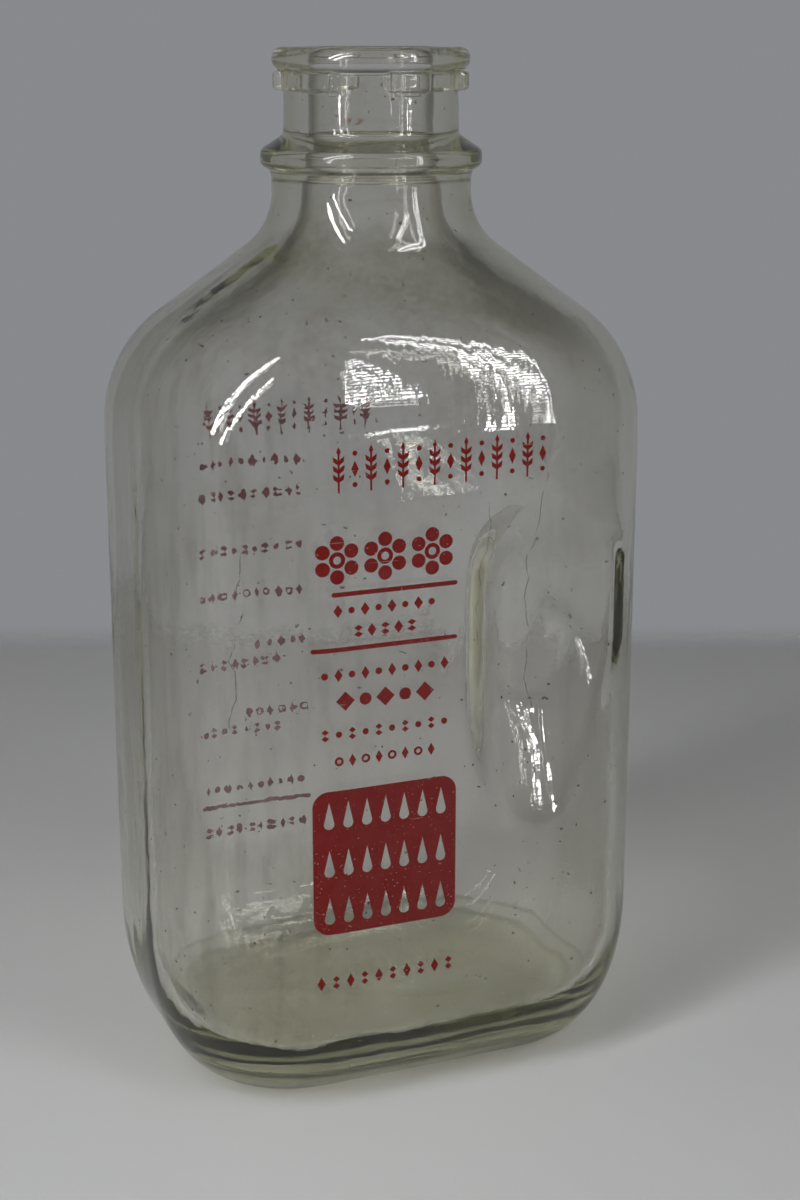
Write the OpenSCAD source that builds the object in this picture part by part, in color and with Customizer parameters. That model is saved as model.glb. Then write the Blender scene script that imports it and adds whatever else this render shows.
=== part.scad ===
// Half gallon glass milk bottle with a finger grip, and its fused enamel print.
// The bottle stands on z = 0, centred on its mouth. X runs along the wide face
// and the finger grip is at the +X end. The front face looks towards -Y.

/* [Body] */
// Overall height
bottle_height = 260; // [250:1:275]
// Width of the body, along X
body_width = 132.7; // [126:0.1:140]
// Depth of the body, along Y
body_depth = 97.4; // [92:0.1:104]
// Corner radius of the body in plan
corner_radius = 39.5; // [36:0.5:42]
// Wall thickness of the body
wall = 4.2; // [3:0.1:5.5]

/* [Base] */
// Glass thickness between the table and the inside of the bottle
base_thickness = 9; // [6:0.5:12]
// Radius of the outer heel
heel_radius = 36.3; // [35.2:0.1:38]
// Height at which the outer heel meets the wall
heel_height = 34.7; // [30:0.1:35]
// Radius of the inner heel
inner_heel_radius = 26; // [20:0.5:30]
// Width of the flat bearing ring
bearing_width = 5; // [3:0.5:6]
// Height of the hollow under the base
push_up = 2.5; // [1:0.1:4]

/* [Shoulder] */
// Height of the vertical wall's top
wall_top = 170; // [162:1:176]
// Radius of the rounded shoulder
shoulder_radius = 33; // [26:0.5:36]
// Radius of the hollow curve under the neck
throat_radius = 16; // [12:0.5:20]
// Height at which the throat meets the neck
throat_top = 225.5; // [222:0.5:228]

/* [Neck and finish] */
// Radius of the neck under the collar
neck_radius = 24.7; // [24:0.1:26]
// Inner radius of the neck under the collar
neck_bore_radius = 17.3; // [16.5:0.1:19]
// Radius of the mouth
mouth_radius = 15.4; // [14:0.1:16]
// Length of the straight bore in the mouth
mouth_depth = 20; // [14:0.5:21]
// Radius of the plain band between the collar and the lugs
band_radius = 21.4; // [20:0.1:23]
// Radius of the collar
collar_radius = 27.35; // [26.5:0.05:29]
// Height of the collar's underside above the throat
collar_rise = 4.5; // [3:0.1:6]
// Height of the collar, from its underside to the plain band
collar_height = 8.9; // [8:0.1:10]
// Rounding of the collar's edge
collar_round = 2; // [1:0.1:2.4]
// Radius of the rim's bead
bead_radius = 24.2; // [23.6:0.1:25.5]
// Height of the bead
bead_height = 5.7; // [4:0.1:7]
// Rounding of the bead
bead_round = 2.6; // [1:0.1:2.8]
// Rounding of the mouth's inner edge
lip_round = 1.5; // [0.5:0.1:2]
// Number of lugs under the bead
lug_count = 6; // [4:1:8]
// Radius of the lugs
lug_radius = 24; // [23.4:0.1:25]
// Height of the lugs
lug_height = 4; // [2:0.1:5]
// Angle of the gap between two lugs
lug_gap_angle = 28; // [15:1:34]
// Direction of the first gap, from +X
lug_gap_start = 6.5; // [0:0.5:60]

/* [Finger grip] */
// Depth of the grip in the front face
grip_depth = 9; // [5:0.5:10]
// Depth of the grip in the back face
back_grip_depth = 7; // [4:0.5:8]
// Distance of the grip's middle from the bottle's axis
grip_x = 30; // [28:0.5:33]
// Height of the grip's widest part
grip_z = 128; // [124:0.5:132]
// Reach of the grip from its middle towards the print
grip_inner_reach = 24.2; // [20:0.2:25]
// Reach of the grip from its middle towards the bottle's end
grip_outer_reach = 32; // [30:0.5:36]
// Reach of the grip above its widest part
grip_upper_reach = 26; // [20:0.5:28]
// Reach of the grip below its widest part
grip_lower_reach = 49; // [40:0.5:52]
// Share of the reach that the front grip's wall slopes over
grip_slope = 0.38; // [0.25:0.01:0.6]
// Share of the reach that the back grip's wall slopes over
back_grip_slope = 0.75; // [0.5:0.01:0.9]

/* [Enamel print] */
// Thickness of the enamel
enamel_thickness = 0.12; // [0.08:0.01:0.3]
// Left end of the front print's column
column_left = -34.7; // [-38:0.1:-30]
// Right end of the front print's column
column_right = 2.4; // [-2:0.1:3]
// Left end of the back print's column
back_column_left = -36.2; // [-38:0.1:-32]
// Right end of the back print's column
back_column_right = -1; // [-6:0.1:2]
// Height of the small rows of ornament
row_height = 3.2; // [2:0.1:4]
// Pitch of the ornaments in a small row
row_pitch = 3.4; // [3:0.1:5]
// Height of the tall row at the top
band_height = 10.8; // [7:0.1:11]
// Middle height of the front's tall row
band_z = 166.7; // [165:0.1:167]
// Length of the front's tall row
band_length = 56; // [40:1:57]
// Pitch of the ears and studs in the tall rows
band_pitch = 4; // [3.6:0.1:6]
// Width of an ear of grain in the tall rows
ear_width = 3.6; // [2.4:0.1:4.4]
// Middle height of the front's flower row
flower_z = 145.4; // [142:0.1:148]
// Diameter of the flowers
flower_size = 11.6; // [8:0.1:13]
// Number of flowers
flower_count = 3; // [2:1:3]
// Thickness of the rules
rule_thickness = 1.1; // [0.6:0.1:2]
// Middle height of the front's upper rule
upper_rule_z = 137.1; // [136.8:0.1:138]
// Middle height of the front's lower rule
lower_rule_z = 123.7; // [122:0.1:124.5]
// Length of the front's upper rule
rule_length = 32; // [26:0.5:36]
// Middle height of the front's lozenge row
lozenge_row_z = 133.1; // [132.5:0.1:133.6]
// Middle height of the front's short row
short_row_z = 127.8; // [126.5:0.1:128.5]
// Middle height of the front's dotted row
dotted_row_z = 117.4; // [116:0.1:119]
// Middle height of the front's bold row
bold_row_z = 110.9; // [110:0.1:112]
// Middle height of the front's leaf row
leaf_row_z = 102.7; // [101:0.1:104]
// Middle height of the front's bead row
bead_row_z = 95.9; // [94:0.1:97]
// Middle height of the front's foot row
foot_row_z = 38.5; // [37.5:0.1:42]
// Bottom edge of the front's panel
panel_bottom = 51.4; // [48:0.1:54]
// Top edge of the front's panel
panel_top = 88.5; // [84:0.1:90]
// Corner radius of the panel
panel_round = 4; // [2:0.5:6]
// Rows of bare drops in the panel
panel_rows = 3; // [1:1:4]
// Bare drops in each row of the panel
panel_drops = 7; // [4:1:9]
// Height of a bare drop
drop_height = 7; // [4:0.1:7.6]
// Width of a bare drop
drop_width = 2.6; // [1.5:0.1:3]

/* [Back print] */
// Middle height of the back's tall row
back_band_z = 162.3; // [160:0.1:164]
// Length of the back's tall row
back_band_length = 48; // [36:1:50]
// Middle height of the back's dotted row
back_dotted_z = 149.8; // [147:0.1:152]
// Middle height of the back's lozenge row
back_lozenge_z = 140.6; // [138:0.1:143]
// Middle height of the back's leaf row
back_leaf_z = 125.2; // [122:0.1:128]
// Middle height of the back's bead row
back_bead_z = 112.3; // [110:0.1:115]
// Middle height of the back's short row
back_short_z = 97.4; // [96.8:0.1:100]
// Middle height of the back's wide row
back_wide_z = 92.6; // [90:0.1:93.2]
// Middle height of the back's dash row
back_dash_z = 77.6; // [77:0.1:80]
// Middle height of the back's ring row
back_ring_z = 72.9; // [70:0.1:73.5]
// Middle height of the back's foot row
back_foot_z = 55.8; // [54:0.1:58]
// Middle height of the back's rule
back_rule_z = 50.5; // [49:0.1:52]
// Middle height of the back's mark row
back_mark_z = 43; // [40:0.1:45]

/* [Hidden] */

glass_colour = [0.78, 0.84, 0.78, 0.45];
enamel_colour = [0.55, 0.10, 0.09];
back_enamel_colour = [0.47, 0.12, 0.14];

$fn = 96;
cut = 1;                                    // overshoot of a cutting shape
seat = 0.3;                                 // step where the neck stands on the body

half_x = body_width / 2;
half_y = body_depth / 2;
flat_x = half_x - corner_radius;            // end of the flat wide face
flat_y = half_y - corner_radius;            // end of the flat narrow face
join_z = throat_top + collar_rise;          // the body ends here and the neck starts
band_bottom = join_z + collar_height;       // plain band above the collar
bead_bottom = bottle_height - bead_height;
lug_bottom = bead_bottom - lug_height;
mouth_bottom = bottle_height - mouth_depth;

// ---------- profile of the shoulder ----------
// Each profile is [radius at the neck, half width at the wall, throat radius, shoulder radius].
outer_profile = [neck_radius, half_x, throat_radius, shoulder_radius];
inner_profile = [neck_bore_radius, half_x - wall, throat_radius + wall, shoulder_radius - wall];

// Angle from the vertical of the straight flank that joins the two arcs
function flank_angle(p) =
    let (dx = p[1] - p[3] - p[0] - p[2], dz = throat_top - wall_top)
    atan2(dx, dz) + asin((p[2] + p[3]) / norm([dx, dz]));

// Half width of the profile at height z
function profile_x(p, z) =
    let (angle = flank_angle(p),
         throat_end = throat_top - p[2] * sin(angle),
         shoulder_end = wall_top + p[3] * sin(angle))
    z >= throat_top ? p[0] :
    z >= throat_end ? p[0] + p[2] - sqrt(p[2] ^ 2 - (throat_top - z) ^ 2) :
    z > shoulder_end ? p[0] + p[2] * (1 - cos(angle)) + (throat_end - z) * tan(angle) :
    z > wall_top ? p[1] - p[3] + sqrt(p[3] ^ 2 - (z - wall_top) ^ 2) : p[1];

// Section at height z: [half width, half depth, corner radius], from the neck's circle to the wall
function shoulder_section(p, skin, z) =
    let (share = (profile_x(p, z) - p[0]) / (p[1] - p[0]))
    [p[0] + share * (p[1] - p[0]),
     p[0] + share * (half_y - skin - p[0]),
     p[0] + share * (corner_radius - skin - p[0])];

// The wall's section drawn in on all sides
function drawn_in(skin, inset) =
    [half_x - skin - inset, half_y - skin - inset, corner_radius - skin - inset];

function heel_inset(radius, top, z) =
    z >= top ? 0 : radius - sqrt(max(0, radius ^ 2 - (top - z) ^ 2));

inner_heel_top = base_thickness + inner_heel_radius;

function outer_section(z) =
    z > wall_top ? shoulder_section(outer_profile, 0, z)
                 : drawn_in(0, heel_inset(heel_radius, heel_height, z));
function inner_section(z) =
    z > wall_top ? shoulder_section(inner_profile, wall, z)
                 : drawn_in(wall, heel_inset(inner_heel_radius, inner_heel_top, z));

// ---------- points of one ring ----------
corner_steps = 7;
grip_edge_steps = 6;
grip_edge_step = 2;
grip_edge_x = grip_x - grip_inner_reach - grip_edge_step;
grip_xs = [for (i = [0:grip_edge_steps]) grip_edge_x + i * grip_edge_step];
plain_x = -flat_x / 3;

function corner_points(sx, sy, start) =
    [for (i = [0:corner_steps])
        let (turn = start + 90 * i / corner_steps)
        [sx * flat_x + corner_radius * cos(turn), sy * flat_y + corner_radius * sin(turn)]];

wall_points = concat(
    corner_points(1, -1, -90),
    corner_points(1, 1, 0),
    [for (i = [grip_edge_steps:-1:0]) [grip_xs[i], half_y]],
    [[plain_x, half_y]],
    corner_points(-1, 1, 90),
    corner_points(-1, -1, 180),
    [[plain_x, -half_y]],
    [for (x = grip_xs) [x, -half_y]]);
directions = [for (p = wall_points) p / norm(p)];
ring_count = len(directions);

// Where a ray from the axis meets a section's rounded rectangle
function on_section(s, d) =
    let (cx = s[0] - s[2], cy = s[1] - s[2], ux = abs(d[0]), uy = abs(d[1]))
    ux * s[1] <= cx * uy ? d * (s[1] / uy) :
    uy * s[0] <= cy * ux ? d * (s[0] / ux) :
    let (along = ux * cx + uy * cy)
    d * (along + sqrt(along ^ 2 - cx ^ 2 - cy ^ 2 + s[2] ^ 2));

// Depth of a finger grip at (x, z): 0 outside it, full on its floor. Its outline is a rounded arch.
grip_power = 2.4;
function eased(t) = t <= 0 ? 0 : t >= 1 ? 1 : t * t * (3 - 2 * t);
function grip_at(x, z, depth, slope, skin) =
    let (rx = (x < grip_x ? grip_inner_reach : grip_outer_reach) + skin,
         rz = (z > grip_z ? grip_upper_reach : grip_lower_reach) + skin,
         reach = (abs((x - grip_x) / rx) ^ grip_power + abs((z - grip_z) / rz) ^ grip_power)
                 ^ (1 / grip_power))
    depth * eased((1 - reach) / slope);

function gripped(p, z, skin) =
    let (dent = p[1] < 0 ? grip_at(p[0], z, grip_depth, grip_slope, skin)
                         : grip_at(p[0], z, back_grip_depth, back_grip_slope, skin))
    [p[0], sign(p[1]) * min(abs(p[1]), half_y - skin - dent), z];

function outer_ring(z) = [for (d = directions) gripped(on_section(outer_section(z), d), z, 0)];
function inner_ring(z) = [for (d = directions) gripped(on_section(inner_section(z), d), z, wall)];
function base_ring(inset, z) =
    let (s = drawn_in(0, heel_inset(heel_radius, heel_height, 0) + inset))
    [for (d = directions) concat(on_section(s, d), z)];

// ---------- heights of the rings ----------
heel_steps = 8;
grip_steps = 6;
arc_steps = 5;
grip_zs = concat(
    [for (i = [grip_steps:-1:1]) grip_z - grip_lower_reach * sin(90 * i / grip_steps)],
    [for (i = [0:grip_steps]) grip_z + grip_upper_reach * sin(90 * i / grip_steps)]);
function shoulder_zs(p) = concat(
    [for (i = [0:arc_steps]) wall_top + p[3] * sin(flank_angle(p) * i / arc_steps)],
    [for (i = [arc_steps:-1:0]) throat_top - p[2] * sin(flank_angle(p) * i / arc_steps)]);
heel_turn = asin(heel_height / heel_radius);
outer_zs = concat(
    [for (i = [heel_steps:-1:0]) heel_height - heel_radius * sin(heel_turn * i / heel_steps)],
    grip_zs, shoulder_zs(outer_profile), [join_z]);
inner_zs = concat(
    [for (i = [heel_steps:-1:0]) inner_heel_top - inner_heel_radius * sin(90 * i / heel_steps)],
    grip_zs, shoulder_zs(inner_profile), [join_z]);

// ---------- glass ----------
// The body is one closed skin: inner base, inside up to the neck, over the top, down the
// outside, and in under the base.
module glass_body() {
    bearing_inset = bearing_width;
    hollow_inset = bearing_width + 4;
    rings = concat(
        [for (z = inner_zs) inner_ring(z)],
        [for (i = [len(outer_zs) - 1:-1:0]) outer_ring(outer_zs[i])],
        [base_ring(bearing_inset, 0), base_ring(hollow_inset, push_up * 0.7)]);
    points = concat([for (r = rings) for (p = r) p], [[0, 0, base_thickness], [0, 0, push_up]]);
    last = len(rings) - 1;
    inside_centre = len(points) - 2;
    outside_centre = len(points) - 1;
    faces = concat(
        [for (k = [0:last - 1]) for (i = [0:ring_count - 1])
            let (j = (i + 1) % ring_count, low = k * ring_count, high = low + ring_count)
            each [[low + i, low + j, high + j], [low + i, high + j, high + i]]],
        [for (i = [0:ring_count - 1]) [i, inside_centre, (i + 1) % ring_count]],
        [for (i = [0:ring_count - 1])
            [last * ring_count + i, last * ring_count + (i + 1) % ring_count, outside_centre]]);
    polyhedron(points, faces, convexity = 6);
}

// Half section of the neck, collar and bead, without the lugs
module neck_section() {
    collar_middle = collar_height * 0.43;
    collar_half = 0.7;
    polygon([[0, join_z], [neck_radius + seat, join_z],
             [collar_radius - collar_round, join_z + collar_middle - collar_half - collar_round],
             [collar_radius - collar_round, join_z + collar_middle + collar_half + collar_round],
             [band_radius, band_bottom], [band_radius, bead_bottom], [0, bead_bottom]]);
    for (side = [-1, 1])
        translate([collar_radius - collar_round, join_z + collar_middle + side * collar_half])
            circle(r = collar_round);
    translate([0, join_z + collar_middle - collar_half])
        square([collar_radius, 2 * collar_half]);
    translate([0, bead_bottom])
        square([bead_radius - bead_round, bead_height - lip_round]);
    translate([0, bottle_height - lip_round])
        difference() {
            square([bead_radius - bead_round, lip_round]);
            square([mouth_radius + lip_round, lip_round]);
        }
    translate([mouth_radius + lip_round, bottle_height - lip_round])
        circle(r = lip_round);
    translate([0, bead_bottom + bead_round])
        square([bead_radius, bead_height - 2 * bead_round]);
    for (z = [bead_bottom + bead_round, bottle_height - bead_round])
        translate([bead_radius - bead_round, z])
            circle(r = bead_round);
}

// One gap between two lugs, as a wedge from the axis
module lug_gap() {
    reach = 2 * lug_radius;
    spread = reach * tan(lug_gap_angle / 2);
    translate([0, 0, lug_bottom - cut])
        linear_extrude(height = lug_height + cut)
            polygon([[0, 0], [reach, -spread], [reach, spread]]);
}

module lugs() {
    difference() {
        translate([0, 0, lug_bottom])
            cylinder(r = lug_radius, h = lug_height);
        for (i = [0:lug_count - 1])
            rotate(lug_gap_start + i * 360 / lug_count)
                lug_gap();
    }
}

module glass_bottle() {
    bore_end = neck_bore_radius - 1.3 * seat;
    color(glass_colour)
    union() {
        glass_body();
        difference() {
            union() {
                rotate_extrude() neck_section();
                lugs();
            }
            translate([0, 0, mouth_bottom - cut])
                cylinder(r = mouth_radius, h = mouth_depth + 2 * cut);
            translate([0, 0, join_z])
                cylinder(r1 = bore_end, r2 = mouth_radius, h = mouth_bottom - join_z);
            translate([0, 0, join_z - cut])
                cylinder(r = bore_end, h = cut);
        }
    }
}

// ---------- enamel ----------
// Plan of the wall, grown by an amount
module wall_plan(grow) {
    square([2 * (half_x + grow), 2 * flat_y], center = true);
    square([2 * flat_x, 2 * (half_y + grow)], center = true);
    for (x = [-flat_x, flat_x], y = [-flat_y, flat_y])
        translate([x, y]) circle(r = corner_radius + grow);
}

// Lays a flat pattern, drawn in x and z, on the wall. side is -1 for the front and 1 for the back.
module on_wall(side) {
    low = heel_height;
    intersection() {
        translate([0, side < 0 ? 0 : half_y + cut, 0])
            rotate([90, 0, 0])
                linear_extrude(height = half_y + cut)
                    children();
        translate([0, 0, low])
            linear_extrude(height = wall_top + band_height - low)
                difference() {
                    wall_plan(enamel_thickness);
                    wall_plan(0);
                }
    }
}

module lozenge(w, h) {
    polygon([[-w / 2, 0], [0, -h / 2], [w / 2, 0], [0, h / 2]]);
}

// An upright ear of grain: a stem, pairs of slanting grains and one on top
module ear(w, h) {
    pairs = 3;
    grain = h * 0.22;
    lean = 32;
    stem = h - grain * 0.7;
    translate([0, (stem - h) / 2]) square([w * 0.13, stem], center = true);
    for (i = [0:pairs - 1], side = [-1, 1])
        translate([side * w * 0.22, h * (0.2 - 0.19 * i)])
            rotate(-side * lean) lozenge(w * 0.3, grain);
    translate([0, (h - grain) / 2]) lozenge(w * 0.3, grain);
}

// A flat bar with round ends
module dash(w, h) {
    square([w - h, h], center = true);
    for (side = [-1, 1])
        translate([side * (w - h) / 2, 0]) circle(d = h);
}

module drop(w, h) {
    translate([0, (w - h) / 2]) circle(d = w);
    polygon([[-w * 0.48, w / 2 - h / 2 + w * 0.14], [w * 0.48, w / 2 - h / 2 + w * 0.14], [0, h / 2]]);
}

// Two leaves, one over the other
module leaves(w, h) {
    for (side = [-1, 1])
        translate([0, side * h / 4]) lozenge(w, h / 2.2);
}

module ring(d) {
    difference() {
        circle(d = d);
        circle(d = d / 2);
    }
}

module flower(size) {
    petals = 6;
    petal = size * 0.3;
    for (i = [0:petals - 1])
        rotate(90 + i * 360 / petals)
            translate([size / 2 - petal / 2, 0]) circle(d = petal);
    ring(size * 0.34);
}

// A row of ornaments, about z, over a length, in turns of two kinds
module ornament_row(middle, z, length, pitch) {
    count = floor(length / pitch) + 1;
    for (i = [0:count - 1])
        translate([middle + (i - (count - 1) / 2) * pitch, z])
            children(i % $children);
}

module grain_band(side, middle, z, length) {
    on_wall(side)
        ornament_row(middle, z, length, band_pitch) {
            ear(ear_width, band_height);
            union() {
                lozenge(stud * 1.5, band_height * 0.36);
                for (end = [-1, 1])
                    translate([0, end * band_height * 0.34]) circle(d = stud);
            }
        }
}

column_middle = (column_left + column_right) / 2;
column_width = column_right - column_left;
back_middle = (back_column_left + back_column_right) / 2;
back_width = back_column_right - back_column_left;
small = row_pitch * 0.66;                   // width of an ornament in a small row
stud = band_pitch * 0.3;                    // width of a stud between two ears
row_end = row_pitch;                        // what a row leaves free of its column

module front_grain_band() {
    color(enamel_colour) grain_band(-1, -1.6, band_z, band_length - band_pitch);
}
module front_flowers() {
    pitch = flower_size + 0.4;
    color(enamel_colour) on_wall(-1)
        for (i = [0:flower_count - 1])
            translate([column_middle + (i - (flower_count - 1) / 2) * pitch, flower_z])
                flower(flower_size);
}
module front_upper_rule() {
    color(enamel_colour) on_wall(-1)
        translate([column_right - rule_length / 2, upper_rule_z]) dash(rule_length, rule_thickness);
}
module front_lozenge_row() {
    color(enamel_colour) on_wall(-1)
        ornament_row(column_middle, lozenge_row_z, 7 * row_pitch, row_pitch) {
            lozenge(small, row_height);
            circle(d = small * 0.7);
        }
}
module front_short_row() {
    color(enamel_colour) on_wall(-1)
        ornament_row(column_middle, short_row_z, 4 * row_pitch, row_pitch) {
            leaves(small, row_height);
            lozenge(small, row_height);
        }
}
module front_lower_rule() {
    color(enamel_colour) on_wall(-1)
        translate([column_middle, lower_rule_z]) dash(column_width, rule_thickness);
}
module front_dotted_row() {
    color(enamel_colour) on_wall(-1)
        ornament_row(column_middle, dotted_row_z, column_width - row_end, row_pitch) {
            circle(d = small * 0.75);
            lozenge(small * 0.9, row_height);
        }
}
module front_bold_row() {
    bold = 1.5;
    color(enamel_colour) on_wall(-1)
        ornament_row(column_middle, bold_row_z, 4 * row_pitch * bold, row_pitch * bold) {
            lozenge(small * bold * 1.4, row_height * bold);
            circle(d = small * bold * 0.9);
        }
}
module front_leaf_row() {
    color(enamel_colour) on_wall(-1)
        ornament_row(column_middle, leaf_row_z, column_width - 1.4 * row_end, row_pitch) {
            leaves(small * 0.8, row_height);
            circle(d = small * 0.7);
        }
}
module front_bead_row() {
    color(enamel_colour) on_wall(-1)
        ornament_row(column_middle, bead_row_z, 7 * row_pitch, row_pitch) {
            ring(small);
            lozenge(small * 0.8, row_height);
        }
}
module front_panel() {
    width = column_width;
    height = panel_top - panel_bottom;
    row_step = height / panel_rows;
    drop_step = (width - 2 * panel_round) / (panel_drops - 1);
    color(enamel_colour) on_wall(-1)
        translate([column_middle, panel_bottom + height / 2])
            difference() {
                union() {
                    square([width, height - 2 * panel_round], center = true);
                    square([width - 2 * panel_round, height], center = true);
                    for (x = [-1, 1], z = [-1, 1])
                        translate([x * (width / 2 - panel_round), z * (height / 2 - panel_round)])
                            circle(r = panel_round);
                }
                for (row = [0:panel_rows - 1], i = [0:panel_drops - 1])
                    translate([(i - (panel_drops - 1) / 2) * drop_step,
                               (row - (panel_rows - 1) / 2) * row_step])
                        drop(drop_width, drop_height);
            }
}
module front_foot_row() {
    color(enamel_colour) on_wall(-1)
        ornament_row(column_middle, foot_row_z, column_width - row_end, row_pitch * 1.1) {
            lozenge(small * 0.9, row_height * 1.15);
            leaves(small * 0.8, row_height * 1.15);
        }
}

module back_grain_band() {
    color(back_enamel_colour) grain_band(1, -7.6, back_band_z, back_band_length);
}
module back_dotted_row() {
    color(back_enamel_colour) on_wall(1)
        ornament_row(back_middle, back_dotted_z, back_width - row_end, row_pitch) {
            circle(d = small * 0.8);
            lozenge(small, row_height);
        }
}
module back_lozenge_row() {
    color(back_enamel_colour) on_wall(1)
        ornament_row(back_middle, back_lozenge_z, back_width - row_end, row_pitch) {
            lozenge(small, row_height);
            leaves(small, row_height);
        }
}
module back_leaf_row() {
    color(back_enamel_colour) on_wall(1)
        ornament_row(back_middle, back_leaf_z, back_width - row_end, row_pitch) {
            leaves(small, row_height);
            circle(d = small * 0.8);
        }
}
module back_bead_row() {
    color(back_enamel_colour) on_wall(1)
        ornament_row(back_middle, back_bead_z, back_width - row_end, row_pitch) {
            ring(small);
            lozenge(small, row_height);
        }
}
module back_short_row() {
    color(back_enamel_colour) on_wall(1)
        ornament_row(back_column_right - 2.6 * row_pitch, back_short_z, 4 * row_pitch, row_pitch) {
            lozenge(small, row_height);
            circle(d = small * 0.8);
        }
}
module back_wide_row() {
    color(back_enamel_colour) on_wall(1)
        ornament_row(back_column_left + 4 * row_pitch, back_wide_z, 7 * row_pitch, row_pitch) {
            leaves(small, row_height);
            lozenge(small, row_height);
        }
}
module back_dash_row() {
    color(back_enamel_colour) on_wall(1)
        ornament_row(back_column_right - 3 * row_pitch, back_dash_z, 5 * row_pitch, row_pitch) {
            lozenge(small, row_height);
            ring(small);
        }
}
module back_ring_row() {
    color(back_enamel_colour) on_wall(1)
        ornament_row(back_column_left + 4 * row_pitch, back_ring_z, 7 * row_pitch, row_pitch) {
            circle(d = small * 0.8);
            leaves(small, row_height);
        }
}
module back_rule() {
    color(back_enamel_colour) on_wall(1)
        translate([back_middle, back_rule_z]) dash(back_width, rule_thickness);
}
module back_foot_row() {
    color(back_enamel_colour) on_wall(1)
        ornament_row(back_middle, back_foot_z, back_width - row_end, row_pitch) {
            lozenge(small, row_height);
            circle(d = small * 0.8);
        }
}
module back_mark_row() {
    color(back_enamel_colour) on_wall(1)
        ornament_row(back_middle, back_mark_z, back_width - row_end, row_pitch) {
            leaves(small, row_height);
            lozenge(small, row_height);
        }
}

glass_bottle();
front_grain_band();
front_flowers();
front_upper_rule();
front_lozenge_row();
front_short_row();
front_lower_rule();
front_dotted_row();
front_bold_row();
front_leaf_row();
front_bead_row();
front_panel();
front_foot_row();
back_grain_band();
back_dotted_row();
back_lozenge_row();
back_leaf_row();
back_bead_row();
back_short_row();
back_wide_row();
back_dash_row();
back_ring_row();
back_rule();
back_foot_row();
back_mark_row();
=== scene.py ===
import math
import bpy
import bmesh
from mathutils import Matrix, Vector, noise


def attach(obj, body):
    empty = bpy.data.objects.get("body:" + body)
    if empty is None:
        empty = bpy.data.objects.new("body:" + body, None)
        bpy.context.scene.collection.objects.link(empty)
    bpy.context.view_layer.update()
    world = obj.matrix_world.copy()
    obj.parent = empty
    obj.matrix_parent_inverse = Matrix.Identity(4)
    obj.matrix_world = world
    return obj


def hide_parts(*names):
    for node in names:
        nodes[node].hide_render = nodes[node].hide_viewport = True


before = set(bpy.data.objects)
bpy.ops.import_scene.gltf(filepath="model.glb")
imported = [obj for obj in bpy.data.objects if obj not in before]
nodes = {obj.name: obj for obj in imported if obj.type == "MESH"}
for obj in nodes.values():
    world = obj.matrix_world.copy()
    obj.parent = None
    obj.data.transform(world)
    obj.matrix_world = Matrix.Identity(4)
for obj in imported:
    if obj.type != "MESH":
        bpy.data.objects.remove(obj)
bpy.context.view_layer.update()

mm = 0.001


# Small maths that several pieces share
def clamp01(t):
    return min(1.0, max(0.0, t))


def smoothStep(t):
    t = clamp01(t)
    return t * t * (3 - 2 * t)


def mix(a, b, share):
    return a + (b - a) * share


def softMin(a, b, soft):        # the smaller one, with a rounded change over the length soft
    if soft <= 0:
        return min(a, b)
    share = clamp01(0.5 + 0.5 * (b - a) / soft)
    return mix(b, a, share) - soft * share * (1 - share)


def steps(a, b, count):        # count values from a to b, without a itself
    return [mix(a, b, (i + 1) / count) for i in range(count)]


def arc(centre, radius, start, end, count):        # points of a round edge, angles in degrees
    angles = [math.radians(a) for a in [start] + steps(start, end, count)]
    return [(centre[0] + radius * math.cos(a), centre[1] + radius * math.sin(a)) for a in angles]


# The glass. Lengths are in millimetres and angles in degrees.
glass = {
    "sides": 276,                  # points in each ring
    "halfX": 66.35, "halfY": 48.7, "corner": 39.5, "wall": 4.2,
    "baseThickness": 9, "innerDome": 1.0, "bearing": 3, "pushUp": 0.9,
    "endHeel": (21, 40), "faceHeel": (24, 32.5),        # how far in and how high the heel's curve goes
    "heelWall": 3,                 # the inner curve goes in less by this
    "wallTop": 170, "shoulder": 33, "throat": 16, "throatTop": 225.5,
    "neck": 24.7, "neckBore": 17.3, "mouth": 15.4,
    "band": 21.4, "bandFoot": 21.6, "bandBottom": 238.9,
    "collarEdge": 25.35, "collarLow": 233.13, "collarHigh": 234.53, "collarRound": 2,
    "bead": 21.6, "beadHigh": 257.4, "beadLow": 256.9, "beadRound": 2.6,
    "top": 260, "lip": 1.5,
    "lug": 24, "lugTop": 254.3, "lugBottom": 249.8, "lugs": 6, "gapAngle": 33, "gapMiddle": 3,
    "lugSide": 2.4,                # angle that a lug's side takes
    "gripX": 30, "gripZ": 128, "gripInner": 22.4, "gripOuter": 75, "gripUp": 28, "gripDown": 57,
    "gripPower": 3.0, "gripWall": (0.7, 0.4),        # shares of the wall that widen and raise the inside
    "gripRunOut": 0.6,             # the foot runs out this much longer at the bottle's side
    "frontGrip": (8.6, 0.45, 0.75, 0.6),        # the depth, then shares that slope at side, top and foot
    "backGrip": (7, 0.6, 0.7, 0.6),
    "outsideCrease": 1.0, "insideCrease": 2.0,        # lengths that round the grip's end off
    "crown": 1.6, "crownStart": 158, "crownFull": 186,        # the shoulder's faces bulge a little
    "proud": 0.03,                 # the wall stands this far into the back of the enamel
    "insideRipple": 0.14, "outsideRipple": 0.035, "shoulderRipple": 0.1, "baseRipple": 0.4,
}
g = glass


def roundedSection(section, d):        # where a ray from the axis meets a rounded rectangle
    halfX, halfY, corner = section
    cx, cy = halfX - corner, halfY - corner
    ux, uy = abs(d[0]), abs(d[1])
    if ux * halfY <= cx * uy:
        reach = halfY / uy
    elif uy * halfX <= cy * ux:
        reach = halfX / ux
    else:
        along = ux * cx + uy * cy
        reach = along + math.sqrt(max(0.0, along ** 2 - cx ** 2 - cy ** 2 + corner ** 2))
    return d[0] * reach, d[1] * reach


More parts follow.
